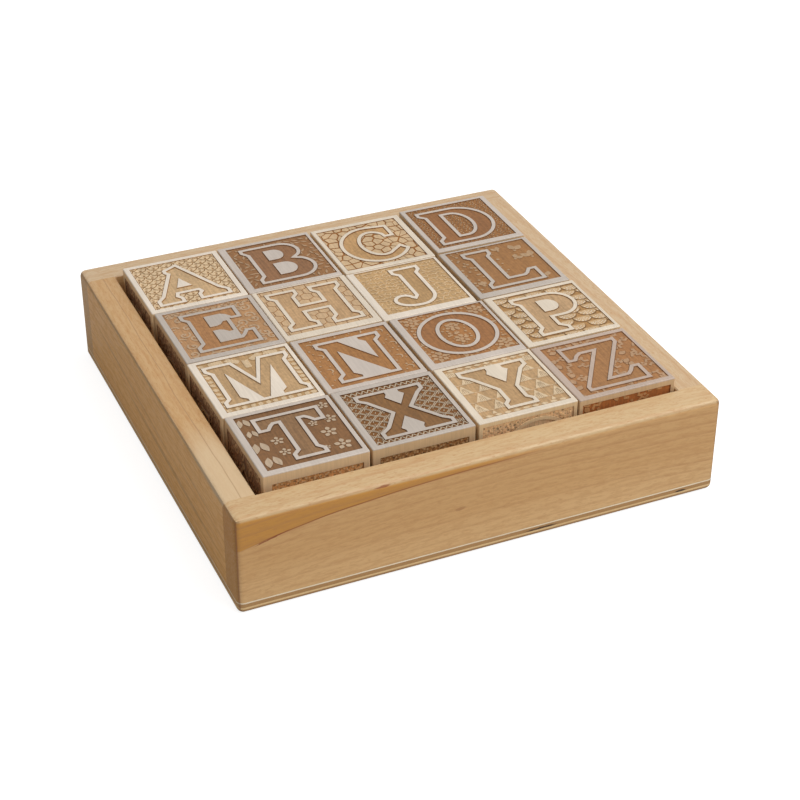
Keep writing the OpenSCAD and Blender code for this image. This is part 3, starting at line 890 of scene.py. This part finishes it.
def hills_and_discs(seed, pitch=5.0):
    """One in three a low mound with a dark edge, the others a wave with a small disc over it."""
    hill = [(-2.4, -0.8), (-0.8, 0.7), (0.8, -0.5), (2.4, 0.8)]
    for k, (x, y, turn) in enumerate(scattered(seed, pitch, loose=0.4)):
        if k % 3 == 0:
            yield leaf((x, y), 4.6, 3.1, turn, 6), "line"
            yield leaf((x, y), 4.0, 2.6, turn, 6), "motif"
        else:
            yield stroke(turned(hill, 0.9 * math.sin(turn), (x, y)), 1.3), "motif"
            yield disc((x + 0.5, y + 1.7), 0.75, 7), "motif"


def speckle(seed, pitch=1.3):
    """Small four-sided specks of many sizes, one in three of them burnt dark."""
    for k, (x, y, turn) in enumerate(scattered(seed, pitch, loose=0.4)):
        size = 0.25 + 0.3 * abs(math.sin(turn * 3))
        speck = [(-size, -size * 0.6), (size, -size), (size * 0.7, size), (-size, size * 0.8)]
        yield turned(speck, turn, (x, y)), "motif" if k % 3 else "line"


def chevrons(_, pitch=2.4):
    """Even rows of small roofs, which need no seed."""
    for row in range(-9, 10):
        for column in range(-8, 9):
            x = column * pitch + 0.3 * (row % 2)
            y = row * 2.0
            roof = [(x - 0.5 * pitch, y - 0.5), (x, y + 0.5), (x + 0.5 * pitch, y - 0.5)]
            yield stroke(roof, 0.55), "motif"


print("outlines of fish scales:", len(list(fish_scales())))


# %% [markdown]
# A face is cut the way a laser does it: what is painted later lies over what was painted before.
# The panel comes first, then its pattern, then the ribbon, the letter and its counters. All these
# outlines go into one triangulation of the flat face, which tells for each triangle what outlines
# hold it, so the last of them names its finish. That keeps the face one closed skin, where loose
# shapes laid on a panel would leave hidden faces.
# %% One engraved face
ORDER = ["pale", "ground", "letter", "motif", "line", "bare"]
STANDING = ["motif", "bare"]
SCORCH = 0.26
SIDE_STEP = 10
MERGE = 0.002


def ribboned(name, scale=1.0, centre=(0, 0)):
    """The outlines of a letter or shape with its ribbon, in the order in which they cover each other."""
    outline = sized({**LETTERS, **SHAPES}[name], scale, centre)
    gaps_left, bare, open_holes = [[sized(shares, scale, centre) for shares in table.get(name, [])]
                                   for table in (BARE_GAPS, BARE_COUNTERS, RIBBON_COUNTERS)]
    layers = [(grown(shape, RIBBON + SCORCH), "line") for shape in (outline, *gaps_left)]
    layers += [(grown(shape, RIBBON), "pale") for shape in (outline, *gaps_left)]
    layers += [(outline, "line"), (grown(outline, -SCORCH), "letter")]
    layers += [(grown(hole, SCORCH), "line") for hole in bare]
    layers += [(hole, "pale") for hole in bare]
    for hole in open_holes:
        layers += [(grown(hole, SCORCH), "line"), (hole, "pale"), (grown(hole, -RIBBON), "line"),
                   (grown(hole, -RIBBON - SCORCH), "through")]
    return outline, open_holes, layers


def finish_of(sources, finishes, pattern_end):
    top = finishes[max(sources)]
    if top == "through":
        top = finishes[max(s for s in sources if s < pattern_end)]
    return top


def face_plan(panel, pattern, piece):
    """All outlines of one face with their finishes: the whole face, its panel, pattern and piece."""
    outline, open_holes, layers = piece
    room = BLOCK / 2 - EDGE
    field = [panel[0] + SCORCH, panel[1] + SCORCH, panel[2] - SCORCH, panel[3] - SCORCH]
    plan = [(rectangle(-room, -room, room, room), "pale"), (rectangle(*panel), "line"),
            (rectangle(*field), "ground")]
    for shape, finish in pattern:
        shape = trimmed(shape, field)
        seen = not all(inside(p, outline) for p in shape)
        seen = seen or any(inside(p, hole) for hole in open_holes for p in shape)
        if len(shape) > 2 and seen:
            plan.append((shape, finish))
    return plan + layers, len(plan)


def triangles_of(plan, pattern_end):
    points = []
    loops = []
    for shape, _ in plan:
        loops.append(list(range(len(points), len(points) + len(shape))))
        points += [Vector(p) for p in shape]
    finishes = [finish for _, finish in plan]
    found = delaunay_2d_cdt(points, [], loops, 1, 1e-4, True)
    named = [(corners, finish_of(sources, finishes, pattern_end))
             for corners, sources in zip(found[2], found[5]) if 0 in sources]
    return found[0], named


def engrave(bm, layer, side, axes, face):
    """Adds one face of the block, then pushes its panel and pattern down below the surface.

    The near corners are merged while the sheet is still flat. Then the whole panel goes down by
    half the depth, and all but the standing motifs go down by the other half. The edges are
    handed over with the faces, so that no copy of a face is left behind as a cover. A face's mark
    is the number of its side times SIDE_STEP plus its finish's place in ORDER.
    """
    across, up, out = axes
    places, named = triangles_of(*face)
    corners = [bm.verts.new(out * BLOCK / 2 + across * x + up * y) for x, y in places]
    for corner_list, finish in named:
        skin = bm.faces.new([corners[c] for c in corner_list])
        skin[layer] = side * SIDE_STEP + ORDER.index(finish)
    bmesh.ops.remove_doubles(bm, verts=corners, dist=MERGE)
    sunk = [skin for skin in bm.faces if skin[layer] > side * SIDE_STEP]
    for raised in ([], STANDING):
        moved = [skin for skin in sunk if ORDER[skin[layer] % SIDE_STEP] not in raised]
        edges = list(dict.fromkeys(edge for skin in moved for edge in skin.edges))
        grown_up = bmesh.ops.extrude_face_region(bm, geom=moved + edges)["geom"]
        floor_corners = [v for v in grown_up if isinstance(v, bmesh.types.BMVert)]
        bmesh.ops.translate(bm, verts=floor_corners, vec=-out * DEPTH / 2)
        sunk = [f for f in grown_up if isinstance(f, bmesh.types.BMFace)]


print("finishes in a face:", ", ".join(ORDER))

# %% [markdown]
# The six faces of a block each have their own upright: letters on the sides stand on the tray's
# floor, and the top one reads from the front. The tones of each block are set in one table,
# because the maple and the strength of the burn differ from block to block.
# %% Faces and tones
X_AXIS = Vector((1, 0, 0))
Y_AXIS = Vector((0, 1, 0))
Z_AXIS = Vector((0, 0, 1))
SIDES = {
    "top": (X_AXIS, Y_AXIS, Z_AXIS),
    "front": (X_AXIS, Z_AXIS, -Y_AXIS),
    "right": (Y_AXIS, Z_AXIS, X_AXIS),
    "back": (-X_AXIS, Z_AXIS, Y_AXIS),
    "left": (-Y_AXIS, Z_AXIS, -X_AXIS),
    "bottom": (X_AXIS, -Y_AXIS, -Z_AXIS),
}
# A wood's side tone is its pale tone made warmer and darker for the upright faces: painted shade with the
# tray's warm reflected light.
CREAM = {"pale": (229, 215, 197), "side": (222, 194, 152)}
SAND = {"pale": (220, 205, 184), "side": (222, 194, 152)}
GREY = {"pale": (197, 184, 172), "side": (214, 184, 144)}
DUSK = {"pale": (186, 174, 162), "side": (206, 176, 136)}
ROSE = {"pale": (184, 163, 147), "side": (206, 174, 134)}
L_LEAVES = [(12.4, 12.6, 5.2, 1.2), (16.4, 4.4, 5.4, 1.9), (9.4, 4.6, 4.0, 0.7), (14.6, -15.6, 4.2, 1.5),
            (4.2, 14.8, 3.6, 1.8), (-15.8, -12.4, 3.4, 1.5)]
M_SPRAYS = [(0.4, 12.5, 1.57), (-4.4, 17.0, 2.5), (5.2, 17.0, 0.6), (-12.5, 18.2, 0.1), (13.2, 18.2, 3.0)]
O_FLOWERS = [(-15.4, 15.4, 1.5), (15.4, 15.4, 1.5), (-15.4, -15.4, 1.5), (15.4, -15.4, 1.5),
             (-0.3, 5.6, 1.35), (-0.3, -5.0, 1.4), (-0.3, 0.4, 0.5)]
T_FLOWERS = [(17.0, 15.6, 1.0), (16.2, 5.4, 1.15), (8.6, 4.6, 0.8), (12.4, -3.4, 1.35),
             (14.4, -13.6, 1.45), (-8.9, -1.4, 1.1), (-8.7, -9.9, 1.0), (7.6, -13.4, 0.6)]
T_LEAVES = [(-17.4, 15.4, 1.0), (-16.6, 6.8, 0.85), (-16.9, -3.6, 1.25), (-15.6, -14.6, 1.25)]
TOP_PATTERNS = {
    "a": [*fish_scales()],
    "b": [*fallen_leaves(98)],
    "c": [*pebbles(99)],
    "d": [*grass(100)],
    "e": [*scrolls(4), *scallop_row()],
    "h": [*honeycomb()],
    "j": [*little_waves(106)],
    "l": [*leaf_pairs(L_LEAVES), *berries(6, 3.3, -20, 2)],
    "m": [*rope_border(3), *sprays(M_SPRAYS)],
    "n": [*moons_and_dots(110)],
    "o": [*berries(5, 2.6, -20, 20), *blossoms(O_FLOWERS)],
    "p": [*fans(112)],
    "t": [*twin_leaves(T_LEAVES), *blossoms(T_FLOWERS, petals=5)],
    "x": [*braid(), *zigzag_border()],
    "y": [*quilt_triangles()],
    "z": [*hills_and_discs(122)],
}
# Each row: the wood, the ground's tone, the letter's, how far a motif is lighter than the ground,
# and how far the panel lies off centre, as shares of its border.
TOPS = {
    "a": (CREAM, (185, 136, 77), (199, 166, 124), 0.74, (-0.03, -0.03)),
    "b": (GREY, (143, 101, 62), (139, 99, 66), 0.44, (0.46, 0.08)),
    "c": (SAND, (151, 98, 44), (186, 146, 98), 0.72, (-0.25, -0.15)),
    "d": (GREY, (148, 101, 55), (143, 97, 57), 0.6, (-0.11, 0.2)),
    "e": (DUSK, (177, 134, 92), (168, 120, 75), 0.5, (0.11, 0.06)),
    "h": (SAND, (170, 124, 78), (187, 151, 110), 0.54, (-0.18, 0.64)),
    "j": (CREAM, (189, 154, 108), (178, 142, 97), 0.44, (0.49, 0.73)),
    "l": (DUSK, (150, 106, 62), (150, 107, 65), 0.48, (0.09, 0.54)),
    "m": (CREAM, (183, 147, 102), (185, 151, 109), 0.56, (0.33, 0.1)),
    "n": (GREY, (163, 114, 66), (159, 111, 63), 0.6, (0.16, -0.08)),
    "o": (GREY, (160, 110, 62), (151, 103, 61), 0.48, (0.47, 0.59)),
    "p": (SAND, (166, 124, 75), (184, 150, 111), 0.44, (0.45, -0.02)),
    "t": (GREY, (123, 86, 51), (137, 103, 69), 0.78, (0.26, 0.16)),
    "x": (DUSK, (117, 75, 30), (125, 88, 49), 0.92, (0.26, -0.18)),
    "y": (SAND, (185, 150, 108), (179, 144, 102), 0.74, (0.35, 0.13)),
    "z": (ROSE, (160, 112, 68), (156, 111, 68), 0.52, (0.38, -0.05)),
}


def top_face(letter, shares):
    x, y = [share * (BORDER - EDGE) for share in shares]
    panel = (x - PANEL / 2, y - PANEL / 2, x + PANEL / 2, y + PANEL / 2)
    pattern = [([(px + x, py + y) for px, py in shape], finish) for shape, finish in TOP_PATTERNS[letter]]
    return face_plan(panel, pattern, ribboned(letter, 1.0, (x, y)))


print("tops planned:", len(TOPS))

# %% [markdown]
# The other five faces show when a block is lifted out, and their upper edges show above the rim.
# They carry simple shapes or another letter, each in a ribbon like the one on top, over one of
# the same patterns. The four fronts whose upper strip the photograph shows have panels, patterns
# and tones of their own.
# %% Side faces
SHAPES = {
    "star": [(r * math.cos(math.radians(90 + 36 * k)), r * math.sin(math.radians(90 + 36 * k)))
             for k, r in enumerate([68, 30] * 5)],
    "heart": [(58 * math.sin(t) ** 3, 50 * math.cos(t) - 19 * math.cos(2 * t) - 8 * math.cos(3 * t) - 4)
              for t in [-math.tau * k / 28 for k in range(28)]],
    "ring": arc((0, 0), (56, 56), 0, 350, 35),
    "diamond": [(0, -66), (50, 0), (0, 66), (-50, 0)],
    "moon": [*arc((0, 0), (60, 60), 60, 300, 20), *arc((22, 0), (50, 52), 265, 95, 14)],
    "cross": [(-20, -60), (20, -60), (20, -20), (60, -20), (60, 20), (20, 20), (20, 60), (-20, 60),
              (-20, 20), (-60, 20), (-60, -20), (-20, -20)],
}
SIDE_PATTERNS = [speckle, scrolls, grass, chevrons, fallen_leaves, little_waves, hills_and_discs, pebbles]
SIDE_BROWNS = [
    ((132, 94, 56), (150, 108, 68), 0.45),
    ((176, 132, 84), (184, 140, 94), 0.5),
    ((150, 104, 62), (164, 116, 72), 0.4),
    ((150, 112, 80), (152, 116, 84), 0.5),
]
O_PIECE = ("o", 0.94, (4.5, 2.6))
FRONTS = {
    "t": ((-18.8, -19.6, 19.8, 17.7), speckle, ("star", 0.8), ((210, 154, 94), (174, 128, 82), 0.8)),
    "x": ((-19.2, -19.6, 19.6, 17.7), speckle, ("moon", 0.8), ((168, 118, 66), (160, 118, 74), 0.75)),
    "y": ((-20.7, -19.8, 20.7, 20.2), speckle, O_PIECE, ((226, 188, 142), (220, 188, 146), 0.7)),
    "z": ((-20.9, -19.6, 20.6, 19.7), hills_and_discs, ("cross", 0.8),
          ((174, 104, 48), (170, 112, 64), 0.55)),
}


def side_face(letter, side, number):
    """The plan and the tones of one of the five faces that aren't on top."""
    seed = ord(letter) * 7 + number
    half = SIDE_PANEL / 2
    panel = (-half, -half, half, half)
    draw = SIDE_PATTERNS[seed % len(SIDE_PATTERNS)]
    tones = SIDE_BROWNS[seed % len(SIDE_BROWNS)]
    piece = (sorted(SHAPES)[seed % len(SHAPES)], 0.9)
    if side == "front" and letter in FRONTS:
        panel, draw, piece, tones = FRONTS[letter]
    elif side in ("right", "bottom"):
        others = sorted(LETTERS)
        piece = (others[(others.index(letter) + 5 * number + 3) % len(others)], 0.9)
    elif side == "left":
        draw = scrolls
        tones = SIDE_BROWNS[-1]
    return face_plan(panel, draw(seed), ribboned(*piece)), tones


print("side patterns:", len(SIDE_PATTERNS))


# %% [markdown]
# A block starts as a cube with rounded edges. Its six flat faces are taken off and engraved ones
# are welded in their place, at the same four corners, so the block stays one closed body. Last,
# every face is painted with its tone and with how far it is burnt.
# %% Carve the blocks
BURNT = {"pale": 0.0, "bare": 0.1, "motif": 0.6}
TANNED = (1.01, 0.98, 0.91)
SCORCHED = 0.74
UPWARD = 0.15
STEEP = 0.5
WELD = 0.0005


def block_body(bm):
    bmesh.ops.create_cube(bm, size=BLOCK)
    bmesh.ops.bevel(bm, geom=bm.edges[:], offset=EDGE, segments=3, profile=0.5, affect="EDGES", material=-1)
    flats = [face for face in bm.faces if face.calc_area() > BLOCK]
    bmesh.ops.delete(bm, geom=flats, context="FACES_ONLY")
    for face in bm.faces:
        face.smooth = True


def paint(bm, layer, palettes, wood):
    """Gives every face its colour, and the engraving's steep walls the colour of the ground."""
    tone = bm.loops.layers.float_color.new("tone")
    burn = bm.faces.layers.float.new("burn")
    facing = [axes[2] for axes in SIDES.values()]
    for face in bm.faces:
        side, finish = divmod(face[layer], SIDE_STEP)
        if side == 0:
            # Bevels that face up take the pale tone, the rest the side tone, which carries painted shade and
            # reflected light.
            colour = wood["pale"] if face.normal.z > UPWARD else wood["side"]
            face[burn] = 0.0
        else:
            steep = abs(face.normal.dot(facing[side - 1])) < STEEP
            finish = "ground" if steep else ORDER[finish]
            colour = palettes[side - 1][finish]
            face[burn] = BURNT.get(finish, 1.0)
        linear = srgb(*colour)
        for loop in face.loops:
            loop[tone] = linear


def palette_for(pale, ground, letter_tone, lift):
    """The tones of one face: a motif lies between ground and tanned wood, and a line is scorched."""
    tanned = [p * share for p, share in zip(pale, TANNED)]
    motif = [g + (p - g) * lift for g, p in zip(ground, tanned)]
    line = [g * SCORCHED for g in ground]
    return {"pale": pale, "bare": pale, "ground": ground, "letter": letter_tone, "motif": motif, "line": line}


def carve_block(letter):
    wood, *top_tones, shares = TOPS[letter]
    bm = bmesh.new()
    layer = bm.faces.layers.int.new("mark")
    block_body(bm)
    palettes = [palette_for(wood["pale"], *top_tones)]
    engrave(bm, layer, 1, SIDES["top"], top_face(letter, shares))
    for number, side in enumerate(list(SIDES)[1:], start=2):
        face, browns = side_face(letter, side, number)
        palettes.append(palette_for(wood["side"], *browns))
        engrave(bm, layer, number, SIDES[side], face)
    bmesh.ops.remove_doubles(bm, verts=bm.verts[:], dist=WELD)
    left_over = [corner for corner in bm.verts if not corner.link_faces]
    bmesh.ops.delete(bm, geom=left_over, context="VERTS")
    bmesh.ops.recalc_face_normals(bm, faces=bm.faces[:])
    paint(bm, layer, palettes, wood)
    low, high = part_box("block_" + letter)
    placed = Matrix.Translation((low + high) / 2) @ Matrix.Scale(MM, 4)
    bmesh.ops.transform(bm, verts=bm.verts[:], matrix=placed)
    mesh = bpy.data.meshes.new("carved_block_" + letter)
    bm.to_mesh(mesh)
    joins = [len(edge.link_faces) for edge in bm.edges]
    bm.free()
    mesh.materials.append(maple)
    block = in_scene("carved_block_" + letter, mesh)
    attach(block, "block_" + letter + "_body")
    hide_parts("block_" + letter)
    print("block", letter, "faces", len(mesh.polygons), "open edges", sum(n < 2 for n in joins),
          "pinched edges", sum(n > 2 for n in joins))


for letter in TOPS:
    carve_block(letter)


# %% [markdown]
# The floor is a wide pale sheet. To the camera it glows up to white, as a lit studio sweep does,
# but it still takes the tray's shadow. To the tray it stays a plain pale grey, so it throws back
# no more light than a table would.
# %% Floor
FLOOR_REACH = 4.0
FLOOR_DROP = 0.0002


def studio_floor():
    bm = bmesh.new()
    bmesh.ops.create_grid(bm, x_segments=2, y_segments=2, size=FLOOR_REACH)
    bmesh.ops.translate(bm, verts=bm.verts[:], vec=(0, 0, -FLOOR_DROP))
    mesh = bpy.data.meshes.new("floor")
    bm.to_mesh(mesh)
    bm.free()
    floor = in_scene("floor", mesh)
    material, tree, shader = new_finish("pale_floor", 0.9)
    shader.inputs["Specular IOR Level"].default_value = 0.0
    seen = add(tree, "LightPath").outputs["Is Camera Ray"]
    table = blend(tree, seen, (0.55, 0.55, 0.55, 1), (0.42, 0.42, 0.42, 1))
    tree.links.new(table, shader.inputs["Base Color"])
    glow = add(tree, "Emission", {"Color": (1, 1, 1, 1), "Strength": times(tree, seen, 0.84)})
    both = add(tree, "AddShader", {0: shader.outputs[0], 1: glow.outputs[0]})
    tree.links.new(both.outputs[0], tree.nodes["Material Output"].inputs["Surface"])
    mesh.materials.append(material)
    return floor


floor = studio_floor()
print("floor spans", floor.dimensions.x, "m")


# %% [markdown]
# The light is one large soft box above the tray, a little to the right and in front, over an even
# sky. It makes the tops bright, the front wall middling and the left wall the darkest, as in the
# photograph. Reflections see a white surround.
# %% Light
def softbox(name, place, size, power):
    data = bpy.data.lights.new(name, "AREA")
    data.shape = "SQUARE"
    data.size = size
    data.energy = power
    lamp = in_scene(name, data)
    lamp.location = place
    lamp.rotation_euler = (-Vector(place)).to_track_quat("-Z", "Y").to_euler()


def even_sky(strength):
    world = bpy.data.worlds.new("sky")
    bpy.context.scene.world = world
    world.use_nodes = True
    tree = world.node_tree
    rays = add(tree, "LightPath").outputs
    direct = maths(tree, "MAXIMUM", rays["Is Camera Ray"], rays["Is Glossy Ray"])
    direct = maths(tree, "MAXIMUM", direct, rays["Is Transmission Ray"])
    level = add(tree, "MapRange", {"Value": direct, "To Min": strength, "To Max": 1.0}).outputs[0]
    tree.links.new(level, tree.nodes["Background"].inputs["Strength"])
    tree.nodes["Background"].inputs["Color"].default_value = (1, 1, 1, 1)


softbox("key_softbox", place=(0.55, -0.5, 1.15), size=1.2, power=15)
even_sky(strength=0.41)
bpy.context.scene.view_settings.view_transform = "Standard"
